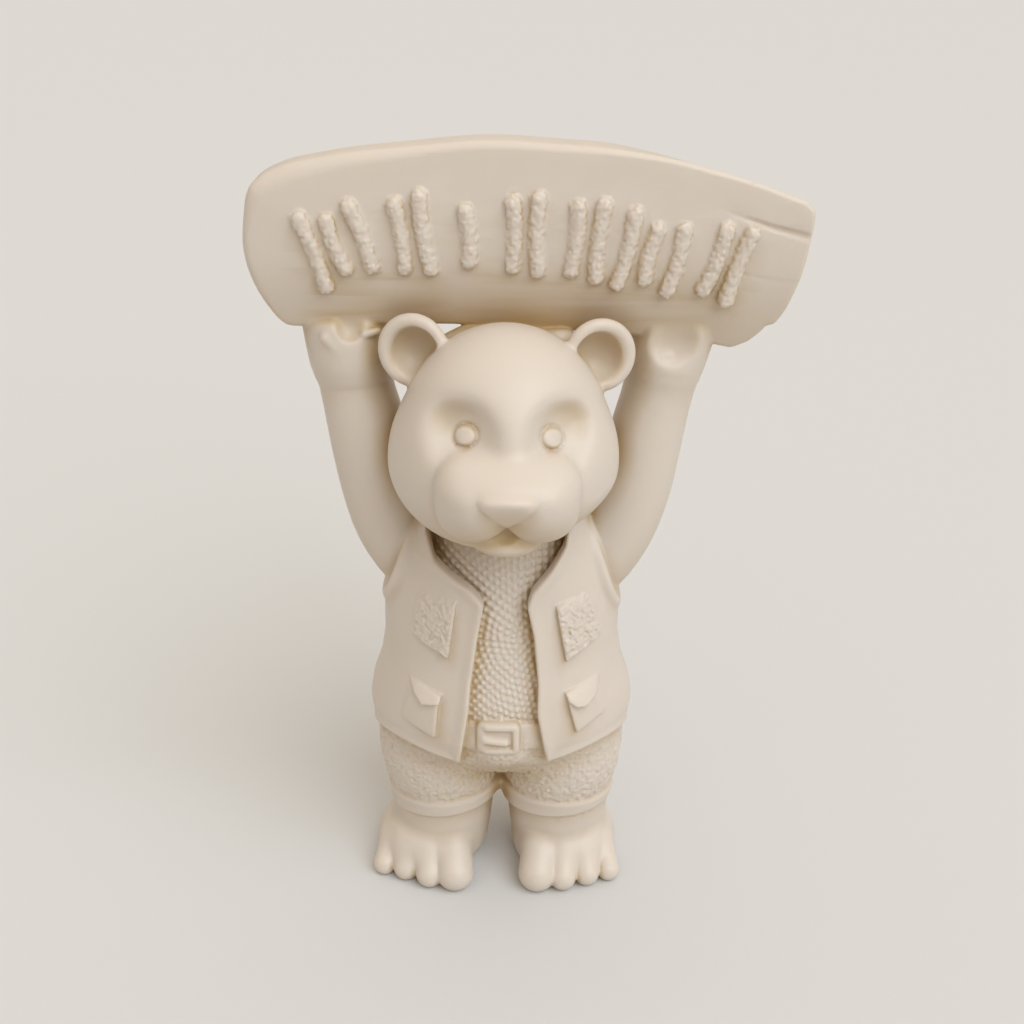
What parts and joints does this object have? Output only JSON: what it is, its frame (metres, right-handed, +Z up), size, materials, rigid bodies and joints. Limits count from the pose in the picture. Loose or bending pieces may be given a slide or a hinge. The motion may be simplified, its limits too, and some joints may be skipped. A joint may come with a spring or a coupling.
{
  "type": "bear statue with welcome sign",
  "caption": "Standing bear in an open vest and rolled trousers, holding a wide sign board over its head; a one-piece printed plastic ornament.",
  "frame": {"origin": "middle of the statue's bounding box in plan, on the plane of its soles", "axes": "+Z up along the statue, -Y the way the bear and the board's face look, +X to the bear's left"},
  "size_m": [0.134, 0.077, 0.208],
  "materials": {
    "ivory_plastic": "satin"
  },
  "bodies": {
    "root": {"bear_with_sign": "ivory_plastic"}
  },
  "joints": []
}
